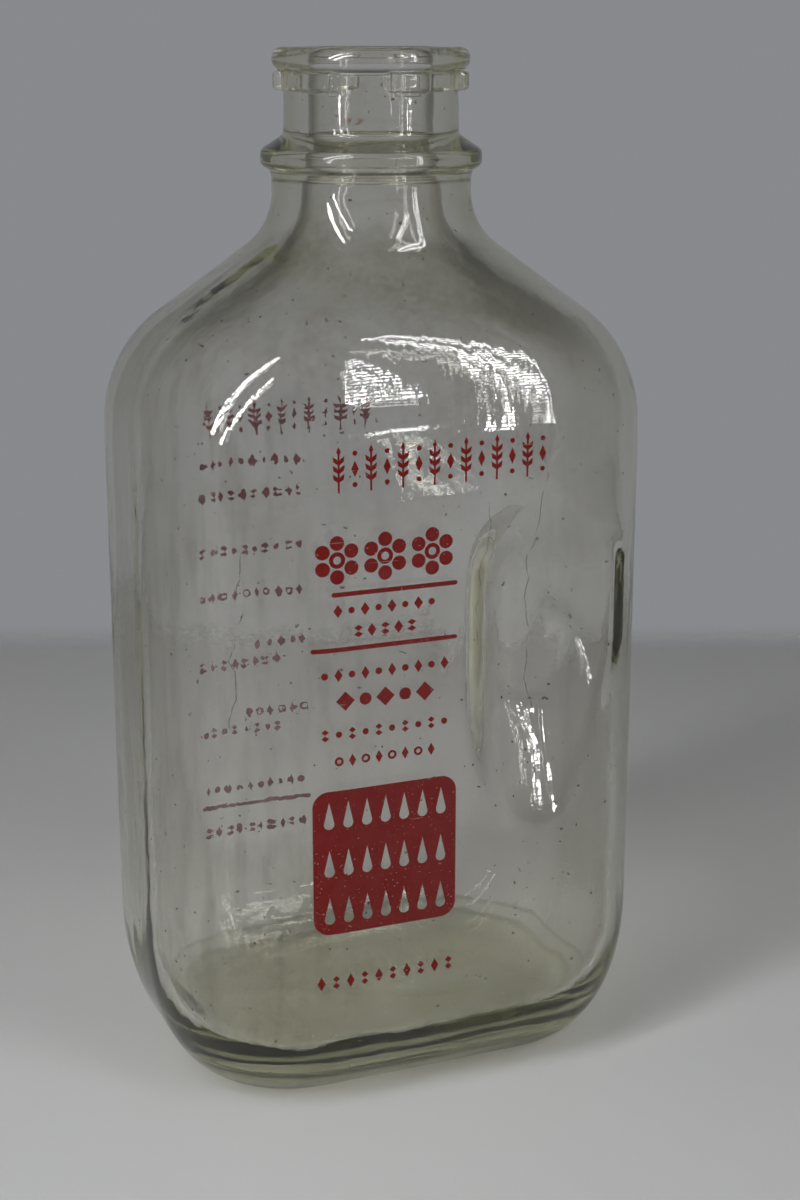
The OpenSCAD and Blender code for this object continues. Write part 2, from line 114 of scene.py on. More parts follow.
def ringDirections(count):        # evenly spaced along the wall's outline
    fine = 7200
    wall = (g["halfX"], g["halfY"], g["corner"])
    turns = [2 * math.pi * i / fine for i in range(fine + 1)]
    outline = [roundedSection(wall, (math.cos(t), math.sin(t))) for t in turns]
    lengths = [0.0]
    for a, b in zip(outline, outline[1:]):
        lengths.append(lengths[-1] + math.dist(a, b))
    found, k = [], 0
    for i in range(count):
        target = lengths[-1] * i / count
        while lengths[k + 1] < target:
            k += 1
        share = (target - lengths[k]) / (lengths[k + 1] - lengths[k])
        t = mix(turns[k], turns[k + 1], share)
        found.append((math.cos(t), math.sin(t)))
    return found


directions = ringDirections(g["sides"])


def shoulderProfile(inside):        # neck radius, half width, throat radius, shoulder radius
    if inside:
        return g["neckBore"], g["halfX"] - g["wall"], g["throat"] + g["wall"], g["shoulder"] - g["wall"]
    return g["neck"], g["halfX"], g["throat"], g["shoulder"]


def flankAngle(profile):        # lean of the straight flank between the two arcs, in radians
    neck, side, throat, shoulder = profile
    across = side - shoulder - neck - throat
    rise = g["throatTop"] - g["wallTop"]
    return math.atan2(across, rise) + math.asin((throat + shoulder) / math.hypot(across, rise))


def profileX(profile, z):
    neck, side, throat, shoulder = profile
    lean = flankAngle(profile)
    throatEnd = g["throatTop"] - throat * math.sin(lean)
    shoulderEnd = g["wallTop"] + shoulder * math.sin(lean)
    if z >= g["throatTop"]:
        return neck
    if z >= throatEnd:
        return neck + throat - math.sqrt(throat ** 2 - (g["throatTop"] - z) ** 2)
    if z > shoulderEnd:
        return neck + throat * (1 - math.cos(lean)) + (throatEnd - z) * math.tan(lean)
    return side - shoulder + math.sqrt(shoulder ** 2 - (z - g["wallTop"]) ** 2)


def gripDepth(x, z, form, skin):        # 0 outside the finger grip, full on its floor
    depth, side, top, foot = form
    across = (g["gripInner"] if x < g["gripX"] else g["gripOuter"]) + skin * g["gripWall"][0]
    high = (g["gripUp"] if z > g["gripZ"] else g["gripDown"]) + skin * g["gripWall"][1]
    u, v = abs((x - g["gripX"]) / across), abs((z - g["gripZ"]) / high)
    reach = (u ** g["gripPower"] + v ** g["gripPower"]) ** (1 / g["gripPower"])
    foot *= 1 + g["gripRunOut"] * smoothStep((x - g["gripX"]) / 12)
    upright = smoothStep(v * v / max(u * u + v * v, 1e-9))
    share = clamp01((1 - reach) / mix(side, top if z > g["gripZ"] else foot, upright))
    ramp = softMin(share, 1, 0.3) - softMin(0, 1, 0.3) * (1 - share)        # the foot rises evenly
    return depth * mix(smoothStep(share), ramp, 0 if z > g["gripZ"] else upright)


def gripSteep(x, y, z, skin):        # 1 on the grip's steepest sides, 0 where it is level
    form = g["frontGrip"] if y < 0 else g["backGrip"]
    fall = gripDepth(x + 0.5, z, form, skin) - gripDepth(x - 0.5, z, form, skin)
    return smoothStep((abs(fall) - 0.3) / 0.6)


def heelInset(z, form, inside):        # how far the heel's curve has turned in at a height
    reach, top = form
    low = g["baseThickness"] if inside else 0.0
    share = clamp01((top - z) / (top - low))
    return (reach - (g["heelWall"] if inside else 0)) * (1 - math.sqrt(1 - share ** 2))


def bodyRing(z, inside, inset=0.0):
    skin = g["wall"] if inside else 0.0
    if z > g["wallTop"]:
        profile = shoulderProfile(inside)
        halfX = profileX(profile, z)
        share = (halfX - profile[0]) / (profile[1] - profile[0])
        halfY, corner = (mix(profile[0], g[name] - skin, share) for name in ("halfY", "corner"))
        section = (halfX, halfY, corner)
    else:
        insetX = heelInset(z, g["endHeel"], inside) + skin + inset
        insetY = heelInset(z, g["faceHeel"], inside) + skin + inset
        section = (g["halfX"] - insetX, g["halfY"] - insetY, g["corner"] - (insetX + insetY) / 2)
    crown = g["crown"] * smoothStep((z - g["crownStart"]) / (g["crownFull"] - g["crownStart"]))
    crown *= clamp01((section[0] - g["neck"]) / (g["halfX"] - g["neck"]) * 2)
    ring = []
    for d in directions:
        x, y = roundedSection(section, d)
        y -= math.copysign(min(abs(y), crown * (x / section[0]) ** 2), y)
        form = g["frontGrip"] if y < 0 else g["backGrip"]
        depth = gripDepth(x, z, form, skin)
        soft = g["insideCrease" if inside else "outsideCrease"] * clamp01(depth / 3)
        ring.append((x, math.copysign(softMin(abs(y), g["halfY"] - skin - depth, soft), y), z))
    return ring


def roundRing(radius, z, gapRadius=None):        # gapRadius is the radius between two lugs
    ring = []
    for d in directions:
        r = radius
        if gapRadius is not None:
            turn = (math.degrees(math.atan2(d[1], d[0])) - g["gapMiddle"]) % (360 / g["lugs"])
            fromGap = min(turn, 360 / g["lugs"] - turn)
            tooth = smoothStep((fromGap - g["gapAngle"] / 2 + g["lugSide"] / 2) / g["lugSide"])
            r = mix(gapRadius, radius, tooth)
        ring.append((r * d[0], r * d[1], z))
    return ring


def gripHeights(low, high, step):
    zs, z = [], low
    while z < high - step / 2:
        z += step if g["gripZ"] - g["gripDown"] - 6 < z < g["gripZ"] + g["gripUp"] + 6 else 2 * step
        zs.append(min(z, high))
    return zs


def shoulderHeights(profile):        # from the wall's top to the throat's top
    lean = math.degrees(flankAngle(profile))
    rise = [g["wallTop"] + profile[3] * math.sin(math.radians(a)) for a in steps(0, lean, 20)]
    hollow = [g["throatTop"] - profile[2] * math.sin(math.radians(a)) for a in [lean] + steps(lean, 0, 12)]
    return rise + steps(rise[-1], hollow[0], 5)[:-1] + hollow


def heelHeights(low, high, count):        # close together where the heel turns flat
    return [low + (high - low) * (1 - math.cos(math.radians(a))) for a in steps(0, 90, count)]


def insideRings():        # from the middle of the base up to the mouth; each ring has its ripple
    floorZ, heelTop = g["baseThickness"], g["endHeel"][1]
    floor = bodyRing(floorZ, True)
    rings = []
    for share in steps(0.03, 1, 16):
        z = floorZ + g["innerDome"] * (1 - share ** 2) ** 2
        rings.append(([(x * share, y * share, z) for x, y, _ in floor], g["baseRipple"]))
    for z in heelHeights(floorZ, heelTop, 20):
        ripple = mix(g["baseRipple"], g["insideRipple"], (z - floorZ) / (heelTop - floorZ))
        rings.append((bodyRing(z, True), ripple))
    for z in gripHeights(heelTop, g["wallTop"], 2.4) + shoulderHeights(shoulderProfile(True)):
        rings.append((bodyRing(z, True), g["insideRipple"]))
    bore = [(17.1, 228.5), (16.7, 231.5), (16.2, 234.5), (15.75, 237.5), (15.5, 239.8)]
    bore += [(g["mouth"], z) for z in steps(239.8, g["top"] - g["lip"] - 0.6, 9)]
    bore += arc((g["mouth"] + g["lip"], g["top"] - g["lip"]), g["lip"], 180, 90, 6)
    rings += [(roundRing(r, z), 0.05) for r, z in bore]
    return rings


def outsideRings():        # from the mouth's rim down to the middle of the underside
    bead, collar = g["bead"], g["collarEdge"]
    rim = [(19, g["top"])] + arc((bead, g["beadHigh"]), g["beadRound"], 90, 0, 9)
    rim += arc((bead, g["beadLow"]), g["beadRound"], 0, -62, 7)
    rings = [(roundRing(r, z), 0.03) for r, z in rim]
    lug, band, top, low = g["lug"], g["band"], g["lugTop"], g["lugBottom"]
    lugs = [(22.72, 22.2, top + 0.14), (23.1, 21.75, top - 0.02), (23.6, 21.5, top - 0.16)]
    lugs += [(23.92, band, top - 0.5)]
    lugs += [(lug, band, z) for z in steps(top - 0.5, low + 1.0, 5)]
    lugs += [(23.93, band, low + 0.6), (23.7, band, low + 0.25), (23.3, band, low + 0.07), (22.6, band, low)]
    lugs += [(21.95, band, low - 0.07), (21.55, band, low - 0.2), (band, band, low - 0.5)]
    rings += [(roundRing(r, z, gap), 0.02) for r, gap, z in lugs]
    foot = g["bandBottom"]
    neck = [(mix(band, g["bandFoot"], t), mix(low - 0.5, foot + 1.4, t)) for t in steps(0, 1, 7)]
    neck += [(21.68, foot + 0.9), (21.9, foot + 0.45), (22.3, foot + 0.02), (23.0, foot - 0.5)]
    neck += [(24.3, foot - 1.32), (25.5, foot - 2.1)]
    neck += arc((collar, g["collarHigh"]), g["collarRound"], 58, 0, 8)
    neck += arc((collar, g["collarLow"]), g["collarRound"], 0, -66, 8)
    neck += [(25.65, 231.0), (25.25, 230.75), (25.05, 230.35)]
    neck += [(24.98, 229.9), (24.85, 229.55), (24.72, 229.2)]
    neck += [(g["neck"], z) for z in steps(229.2, g["throatTop"], 3)]
    rings += [(roundRing(r, z), 0.03) for r, z in neck]
    down = shoulderHeights(shoulderProfile(False))[::-1][1:] + [g["wallTop"]]
    down += gripHeights(g["endHeel"][1], g["wallTop"], 1.9)[::-1][1:]
    down += heelHeights(0.0, g["endHeel"][1], 24)[::-1] + [0.0]
    for z in down:
        high = smoothStep((z - g["crownStart"]) / (g["crownFull"] - g["crownStart"]))
        rings.append((bodyRing(z, False), mix(g["outsideRipple"], g["shoulderRipple"], high)))
    for more in (0.25, 0.6, 1):
        ring = bodyRing(0, False, g["bearing"] * more)
        rings.append(([(x, y, 0.0) for x, y, _ in ring], 0.0))
    for share in steps(1, 0.04, 14):
        z = g["pushUp"] * smoothStep(1 - share)
        rings.append(([(x * share, y * share, z) for x, y, _ in ring], g["baseRipple"] * (1 - share)))
    return rings


def flow(point, ripple):        # how far the glass swells at a point, in millimetres
    x, y, z = point
    broad = noise.noise(Vector((x / 26, y / 26, z / 44)))
    fine = noise.noise(Vector((x / 9 + 7, y / 9, z / 17)))
    return ripple * (0.75 * broad + 0.35 * fine)


def makeGlass(material):        # a grid wrapped round the axis, from the base's inside to its underside
    stations = insideRings()
    firstOutside = len(stations)
    stations += outsideRings()
    sides, last = g["sides"], len(stations) - 1
    bm = bmesh.new()
    ripple, outer, steep = (bm.verts.layers.float.new(name) for name in ("ripple", "outer", "steep"))
    bmesh.ops.create_grid(bm, x_segments=sides, y_segments=last, size=1)
    for v in bm.verts:
        side, level = round((v.co.x + 1) / 2 * sides) % sides, round((v.co.y + 1) / 2 * last)
        points, v[ripple] = stations[level]
        v[outer] = float(level >= firstOutside)
        v.co = points[side]
        if level in (0, last):        # closes the two poles
            v.co.x = v.co.y = 0
    bmesh.ops.remove_doubles(bm, verts=bm.verts, dist=1e-4)
    bmesh.ops.recalc_face_normals(bm, faces=bm.faces)
    bm.normal_update()
    moves = []
    for v in bm.verts:
        v[steep] = gripSteep(*v.co, 0 if v[outer] > 0.5 else g["wall"])
        onWall = v[outer] > 0.5 and g["faceHeel"][1] - 5 < v.co.z < g["wallTop"] + 8
        moves.append((v, v.normal * (flow(v.co, v[ripple]) + (g["proud"] if onWall else 0.0))))
    for v, move in moves:
        v.co += move
    bmesh.ops.scale(bm, vec=(mm, mm, mm), verts=bm.verts)
    for face in bm.faces:
        face.smooth = True
    mesh = bpy.data.meshes.new("clearGlassBottle")
    bm.to_mesh(mesh)
    bm.free()
    piece = bpy.data.objects.new("clearGlassBottle", mesh)
    bpy.context.scene.collection.objects.link(piece)
    mesh.materials.append(material)
    return piece


# Nodes of a material
def addNode(tree, kind, **values):
    node = tree.nodes.new(kind)
    for name, value in values.items():
        if name in node.inputs:
            node.inputs[name].default_value = value
        else:
            setattr(node, name, value)
    return node


def remap(tree, value, low, high, toLow=0.0, toHigh=1.0):        # a smooth step from low to high
    node = addNode(tree, "ShaderNodeMapRange", interpolation_type="SMOOTHSTEP")
    if low > high:
        low, high, toLow, toHigh = high, low, toHigh, toLow
    for name, number in zip(("From Min", "From Max", "To Min", "To Max"), (low, high, toLow, toHigh)):
        node.inputs[name].default_value = number
    tree.links.new(value, node.inputs["Value"])
    return node.outputs["Result"]


def combine(tree, operation, a, b=0.0):        # two values, or a value and a number
    node = addNode(tree, "ShaderNodeMath", operation=operation)
    for socket, value in zip(node.inputs, (a, b)):
        if isinstance(value, (int, float)):
            socket.default_value = value
        else:
            tree.links.new(value, socket)
    return node.outputs["Value"]


def cloud(tree, vector, scale, detail=2, stretch=(1, 1, 1)):        # noise on object coordinates, from 0 to 1
    shift = addNode(tree, "ShaderNodeMapping")
    shift.inputs["Scale"].default_value = stretch
    node = addNode(tree, "ShaderNodeTexNoise")
    node.inputs["Scale"].default_value = scale
    node.inputs["Detail"].default_value = detail
    tree.links.new(vector, shift.inputs["Vector"])
    tree.links.new(shift.outputs["Vector"], node.inputs["Vector"])
    return node.outputs["Fac"]


def newMaterial(name):
    material = bpy.data.materials.new(name)
    material.use_nodes = True
    material.node_tree.nodes.clear()
    return material, material.node_tree


film = {        # what tints the glass, the dirt on it, and painted shade and light. Lengths are in metres.
    "clean": (0.965, 0.955, 0.943), "edge": (0.66, 0.66, 0.58),        # seen straight on and at a slant
    "thick": (0.62, 0.605, 0.51), "thickSpan": (0.165, 0.19),        # the shoulder and neck, above these heights
    "bore": (0.1, 0.1, 0.075), "boreSpan": (0.16, 0.215),        # painted shade: the inside darkens where it turns away, giving the dark bands down the neck's sides
    "base": (0.86, 0.845, 0.76), "rim": (0.58, 0.57, 0.48),        # the thick base's own tint with painted shade of the table under it, and darker painted shade along its upper edge
    "baseTop": 0.0138, "baseWave": 0.003,
    "side": (0.62, 0.62, 0.46), "sidePaintedLight": 0.6,        # the grip's steep sides: painted light, a lighter olive haze that stands in for the band lit through the glass
    "smudge": (0.64, 0.6, 0.49), "throatSmudges": 0.32, "bodySmudges": 0.16,
    "throatSpan": (0.186, 0.2, 0.22, 0.232),        # where the throat's smudges start, are full and end
    "streak": (0.72, 0.71, 0.67), "streakSpan": (0.005, -0.055),        # the streaks grow towards the left
    "dirt": (0.1, 0.092, 0.07), "haze": 0.004, "speck": 0.8,        # how much the haze and a speck cover
    "specks": [(210, 0.5, 0.12), (390, 0.62, 0.17)],        # how fine, how rare, how large
    "rust": (0.42, 0.2, 0.07), "rustPlace": (-0.0114, -0.0181, 0.2431), "rustSize": 0.0034, "rustFlat": 3.2,
    "hair": (0.16, 0.15, 0.13), "hairWidth": 0.00018, "hairWave": 0.006,
}


clear = {        # the glass itself
    "ior": 1.5, "roughness": 0.015, "waveDepth": 0.00005,
    "inside": (0.58, 0.6, 0.2), "insideDensity": 13,        # the tint that light takes on in thick glass
    "shadowBase": 0.35, "shadowWall": 0.65,        # the lamps' light that the base and the walls let through
}


# Wavy hairs of dirt on the front: x at the foot, lean, foot and top heights, in metres
hairs = [(0.0252, 0.0, 0.079, 0.17), (0.0045, 0.13, 0.105, 0.158), (-0.052, 0.05, 0.1, 0.15)]


def hairMask(tree, place, sides, hair):
    x, y, z = sides
    foot, lean, low, top = hair
    wave = combine(tree, "SUBTRACT", cloud(tree, place, 110, 3, (0.2, 0.2, 1)), 0.5)
    wave = combine(tree, "MULTIPLY", wave, film["hairWave"])
    leaning = combine(tree, "MULTIPLY", combine(tree, "SUBTRACT", z, low), lean)
    across = combine(tree, "SUBTRACT", combine(tree, "SUBTRACT", x, foot), leaning)
    gap = combine(tree, "ABSOLUTE", combine(tree, "ADD", across, wave))
    line = remap(tree, gap, film["hairWidth"], film["hairWidth"] * 0.3)
    line = combine(tree, "MULTIPLY", line, remap(tree, z, low, low + 0.006))
    line = combine(tree, "MULTIPLY", line, remap(tree, z, top, top - 0.006))
    line = combine(tree, "MULTIPLY", line, remap(tree, cloud(tree, place, 260, 2), 0.4, 0.55))
    outer = addNode(tree, "ShaderNodeAttribute", attribute_name="outer").outputs["Fac"]
    return combine(tree, "MULTIPLY", combine(tree, "MULTIPLY", line, outer), remap(tree, y, -0.02, -0.03))


def rustMask(tree, place):        # a small stain under the lugs
    stretched = addNode(tree, "ShaderNodeMapping")
    stretched.inputs["Scale"].default_value = (1, 1, film["rustFlat"])
    tree.links.new(place, stretched.inputs["Vector"])
    near = addNode(tree, "ShaderNodeVectorMath", operation="DISTANCE")
    near.inputs[1].default_value = (*film["rustPlace"][:2], film["rustPlace"][2] * film["rustFlat"])
    tree.links.new(stretched.outputs["Vector"], near.inputs[0])
    rust = remap(tree, near.outputs["Value"], film["rustSize"], film["rustSize"] / 2)
    return combine(tree, "MULTIPLY", rust, remap(tree, cloud(tree, place, 700, 3), 0.45, 0.6))


def speckMask(tree, place):        # ragged specks of dirt, a coarse and a fine set
    shake = addNode(tree, "ShaderNodeTexNoise")
    shake.inputs["Scale"].default_value = 900
    tree.links.new(place, shake.inputs["Vector"])
    ragged = addNode(tree, "ShaderNodeVectorMath", operation="MULTIPLY_ADD")
    ragged.inputs[1].default_value = (0.0012, 0.0012, 0.0012)
    tree.links.new(shake.outputs["Color"], ragged.inputs[0])
    tree.links.new(place, ragged.inputs[2])
    specks = 0.0
    for scale, rarest, largest in film["specks"]:
        cells = addNode(tree, "ShaderNodeTexVoronoi")
        cells.inputs["Scale"].default_value = scale
        tree.links.new(ragged.outputs["Vector"], cells.inputs["Vector"])
        size = addNode(tree, "ShaderNodeSeparateColor")
        tree.links.new(cells.outputs["Color"], size.inputs["Color"])
        reach = remap(tree, size.outputs["Red"], rarest, 1.15, 0.0, largest)
        spot = remap(tree, combine(tree, "SUBTRACT", cells.outputs["Distance"], reach), 0.0, -0.012)
        specks = combine(tree, "MAXIMUM", spot, specks)
    return specks


def tinted(tree, amount, colourA, colourB):        # colourA where amount is 0, colourB where it is 1
    node = addNode(tree, "ShaderNodeMix", data_type="RGBA")
    for name, value in (("Factor", amount), ("A", colourA), ("B", colourB)):
        socket = node.inputs[name]
        if isinstance(value, tuple):
            socket.default_value = (*value, 1)
        else:
            tree.links.new(value, socket)
    return node.outputs["Result"]


def glassFilm(tree, place, colour):        # smudges, streaks and specks, and the painted shade in the base: the colour and how much they cover
    sides = addNode(tree, "ShaderNodeSeparateXYZ")
    tree.links.new(place, sides.inputs["Vector"])
    x, y, z = (sides.outputs[name] for name in "XYZ")
    # painted shade: inside the base the glass takes the olive shade of the table under the bottle, with a darker
    # edge at its top
    waves = combine(tree, "MULTIPLY", cloud(tree, place, 70, 2), film["baseWave"])
    depth = combine(tree, "SUBTRACT", film["baseTop"] + film["baseWave"] / 2, combine(tree, "ADD", z, waves))
    colour = tinted(tree, remap(tree, depth, 0.0, 0.0012), colour, film["base"])
    rim = combine(tree, "MULTIPLY", remap(tree, depth, 0.0, 0.0009), remap(tree, depth, 0.0024, 0.001))
    colour = tinted(tree, rim, colour, film["rim"])
    smudges = remap(tree, cloud(tree, place, 38, 7), 0.44, 0.66)
    start, full, fade, end = film["throatSpan"]
    throat = combine(tree, "MULTIPLY", remap(tree, z, start, full), remap(tree, z, end, fade))
    throat = combine(tree, "MULTIPLY", throat, film["throatSmudges"])
    smudges = combine(tree, "MULTIPLY", smudges, combine(tree, "ADD", throat, film["bodySmudges"]))
    smudges = combine(tree, "MULTIPLY", smudges, remap(tree, cloud(tree, place, 420, 4), 0.3, 0.65, 0.3, 1.3))
    colour = tinted(tree, smudges, colour, film["smudge"])
    colour = tinted(tree, rustMask(tree, place), colour, film["rust"])
    streaks = remap(tree, cloud(tree, place, 190, 6, (1, 1, 0.16)), 0.48, 0.72)
    streaks = combine(tree, "MULTIPLY", streaks, remap(tree, x, *film["streakSpan"]))
    colour = tinted(tree, streaks, colour, film["streak"])
    for hair in hairs:
        colour = tinted(tree, hairMask(tree, place, (x, y, z), hair), colour, film["hair"])
    specks = speckMask(tree, place)
    colour = tinted(tree, specks, colour, film["dirt"])
    covered = combine(tree, "MAXIMUM", combine(tree, "MULTIPLY", specks, film["speck"]), film["haze"])
    return colour, covered


def glassMaterial():
    material, tree = newMaterial("clearGlass")
    link = tree.links.new
    out = addNode(tree, "ShaderNodeOutputMaterial")
    shader = addNode(tree, "ShaderNodeBsdfPrincipled")
    shader.inputs["IOR"].default_value = clear["ior"]
    shader.inputs["Roughness"].default_value = clear["roughness"]
    place = addNode(tree, "ShaderNodeTexCoord").outputs["Object"]
    facing = addNode(tree, "ShaderNodeLayerWeight")
    facing.inputs["Blend"].default_value = 0.3
    sides = addNode(tree, "ShaderNodeSeparateXYZ")
    link(place, sides.inputs["Vector"])
    colour = tinted(tree, facing.outputs["Facing"], film["clean"], film["edge"])
    high = remap(tree, sides.outputs["Z"], *film["thickSpan"])
    high = combine(tree, "MULTIPLY", high, remap(tree, facing.outputs["Facing"], 0.15, 0.5))
    colour = tinted(tree, high, colour, film["thick"])        # more glass in the shoulder and neck
    outer = addNode(tree, "ShaderNodeAttribute", attribute_name="outer").outputs["Fac"]
    inner = remap(tree, outer, 0.6, 0.4)
    # painted shade: the inside of the neck turns dark where it turns away from view
    bore = combine(tree, "MULTIPLY", remap(tree, facing.outputs["Facing"], 0.24, 0.5), inner)
    bore = combine(tree, "MULTIPLY", bore, remap(tree, sides.outputs["Z"], *film["boreSpan"], 0.1, 1.0))
    colour = tinted(tree, bore, colour, film["bore"])
    colour, covered = glassFilm(tree, place, colour)
    # painted light on the grip's steep sides, as a lighter olive haze
    steep = addNode(tree, "ShaderNodeAttribute", attribute_name="steep").outputs["Fac"]
    steep = combine(tree, "MULTIPLY", steep, remap(tree, facing.outputs["Facing"], 0.1, 0.4))
    steep = combine(tree, "MULTIPLY", steep, remap(tree, outer, 0.4, 0.6, 1.0, 0.2))
    colour = tinted(tree, steep, colour, film["side"])
    side = combine(tree, "MULTIPLY", steep, film["sidePaintedLight"])
    covered = combine(tree, "MAXIMUM", covered, side)        # painted light: the grip's steep sides show a lighter olive haze at a slant
    link(combine(tree, "SUBTRACT", 1.0, covered), shader.inputs["Transmission Weight"])
    link(colour, shader.inputs["Base Color"])
    waves = cloud(tree, place, 210, 2, (1, 1, 0.3))
    height = combine(tree, "ADD", waves, combine(tree, "MULTIPLY", cloud(tree, place, 800, 1), 0.12))
    bump = addNode(tree, "ShaderNodeBump")
    bump.inputs["Strength"].default_value = 1
    bump.inputs["Distance"].default_value = clear["waveDepth"]
    link(height, bump.inputs["Height"])
    link(bump.outputs["Normal"], shader.inputs["Normal"])
    absorb = addNode(tree, "ShaderNodeVolumeAbsorption")
    absorb.inputs["Color"].default_value = (*clear["inside"], 1)
    absorb.inputs["Density"].default_value = clear["insideDensity"]
    path = addNode(tree, "ShaderNodeLightPath")        # lamps shine through the glass
    shadow = addNode(tree, "ShaderNodeBsdfTransparent")
    kept = remap(tree, sides.outputs["Z"], 0.006, 0.04, clear["shadowBase"], clear["shadowWall"])
    link(kept, shadow.inputs["Color"])
    through = addNode(tree, "ShaderNodeMixShader")
    link(path.outputs["Is Shadow Ray"], through.inputs["Fac"])
    link(shader.outputs["BSDF"], through.inputs[1])
    link(shadow.outputs["BSDF"], through.inputs[2])
    link(through.outputs["Shader"], out.inputs["Surface"])
    link(absorb.outputs["Volume"], out.inputs["Volume"])
    return material


enamel = {        # each face's colour, and the colour of its worn patches
    "front": ((0.122, 0.004, 0.003), (0.132, 0.008, 0.006)),
    "back": ((0.1, 0.012, 0.016), (0.13, 0.03, 0.036)),
    "bare": (0.2, 0.17, 0.155), "bareShare": 0.75,        # what shows where the print is gone
    "roughness": 0.2, "shine": 0.3, "dents": 0.00005,
}


def enamelMaterial(name, colour, worn):
    material, tree = newMaterial(name)
    link = tree.links.new
    out = addNode(tree, "ShaderNodeOutputMaterial")
    shader = addNode(tree, "ShaderNodeBsdfPrincipled")
    shader.inputs["Roughness"].default_value = enamel["roughness"]
    shader.inputs["Specular IOR Level"].default_value = enamel["shine"]
    place = addNode(tree, "ShaderNodeTexCoord").outputs["Object"]
    colour = tinted(tree, remap(tree, cloud(tree, place, 260, 3), 0.35, 0.7), colour, worn)
    pits = remap(tree, cloud(tree, place, 1500, 3), 0.66, 0.71)
    scratches = combine(tree, "MULTIPLY", remap(tree, cloud(tree, place, 160, 2, (0.35, 1, 9)), 0.69, 0.72),
                        remap(tree, cloud(tree, place, 90, 1), 0.5, 0.6))
    bare = combine(tree, "MAXIMUM", pits, scratches)
    colour = tinted(tree, combine(tree, "MULTIPLY", bare, enamel["bareShare"]), colour, enamel["bare"])
    link(colour, shader.inputs["Base Color"])
    dent = addNode(tree, "ShaderNodeBump")
    dent.inputs["Strength"].default_value = 0.4
    dent.inputs["Distance"].default_value = enamel["dents"]
    link(cloud(tree, place, 900, 3), dent.inputs["Height"])
    link(dent.outputs["Normal"], shader.inputs["Normal"])
    link(shader.outputs["BSDF"], out.inputs["Surface"])
    return material


def paint(names, material):
    for name in names:
        for slot in nodes[name].material_slots:
            slot.link = "OBJECT"
            slot.material = material


bottle = makeGlass(glassMaterial())
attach(bottle, "root")
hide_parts("glass_bottle")
print("glass:", len(bottle.data.polygons), "faces")

frontEnamel = enamelMaterial("frontEnamel", *enamel["front"])
backEnamel = enamelMaterial("backEnamel", *enamel["back"])
paint([n for n in nodes if n.startswith("front_")], frontEnamel)
paint([n for n in nodes if n.startswith("back_")], backEnamel)
print("enamel painted")

# The table, the light and the camera. Lengths are in metres and angles in degrees.
studio = {
    "lookX": 0.3806, "lookY": 0.9247, "cameraDown": 15.56,        # the camera's level direction and its tilt
    "cameraPlace": (-0.1899, -0.4800, 0.2641), "lens": 61.53, "sensor": 36,
    "tableBehind": 0.395, "tableFade": 0.05, "tableFront": 0.75, "tableSide": 0.9,
    "wallColour": (0.247, 0.252, 0.266),
    "wallEnds": (0.3, 0.75), "aboveWall": 0.25,        # upwards the wall fades to this share of its light
    "roomColour": (0.11, 0.11, 0.11),
    "tableColour": (0.5, 0.502, 0.507), "tableRoughness": 0.45, "tableShine": 0.25,
    "dotPitch": 0.022, "dotPeak": 3.6, "dotGap": 0.06,        # the strips are rows of small lamps
    "tableGap": 0.0002,        # the table lies this far below the glass
}


def makeTable():
    bm = bmesh.new()
    bmesh.ops.create_grid(bm, x_segments=1, y_segments=1, size=1)
    far, near, side = studio["tableBehind"], studio["tableFront"], studio["tableSide"]
    bmesh.ops.scale(bm, vec=(side, (far + near) / 2, 1), verts=bm.verts)
    bmesh.ops.translate(bm, vec=(0, (far - near) / 2, 0), verts=bm.verts)
    turn = math.atan2(studio["lookX"], studio["lookY"])
    for v in bm.verts:
        x, y, _ = v.co
        across, along = x * math.cos(turn) + y * math.sin(turn), y * math.cos(turn) - x * math.sin(turn)
        v.co = (across, along, -studio["tableGap"])
    mesh = bpy.data.meshes.new("table")
    bm.to_mesh(mesh)
    bm.free()
    table = bpy.data.objects.new("table", mesh)
    bpy.context.scene.collection.objects.link(table)
    material, tree = newMaterial("paleTable")
    link = tree.links.new
    out = addNode(tree, "ShaderNodeOutputMaterial")
    shader = addNode(tree, "ShaderNodeBsdfPrincipled")
    shader.inputs["Roughness"].default_value = studio["tableRoughness"]
    shader.inputs["Specular IOR Level"].default_value = studio["tableShine"]
    shader.inputs["Base Color"].default_value = (*studio["tableColour"], 1)
    place = addNode(tree, "ShaderNodeTexCoord")
    away = addNode(tree, "ShaderNodeVectorMath", operation="DOT_PRODUCT")
    away.inputs[1].default_value = (studio["lookX"], studio["lookY"], 0)
    link(place.outputs["Object"], away.inputs[0])
    fade = addNode(tree, "ShaderNodeMixShader")        # the far edge fades into the wall
    link(remap(tree, away.outputs["Value"], far - studio["tableFade"], far), fade.inputs["Fac"])
    link(shader.outputs["BSDF"], fade.inputs[1])
    link(addNode(tree, "ShaderNodeBsdfTransparent").outputs["BSDF"], fade.inputs[2])
    link(fade.outputs["Shader"], out.inputs["Surface"])
    mesh.materials.append(material)


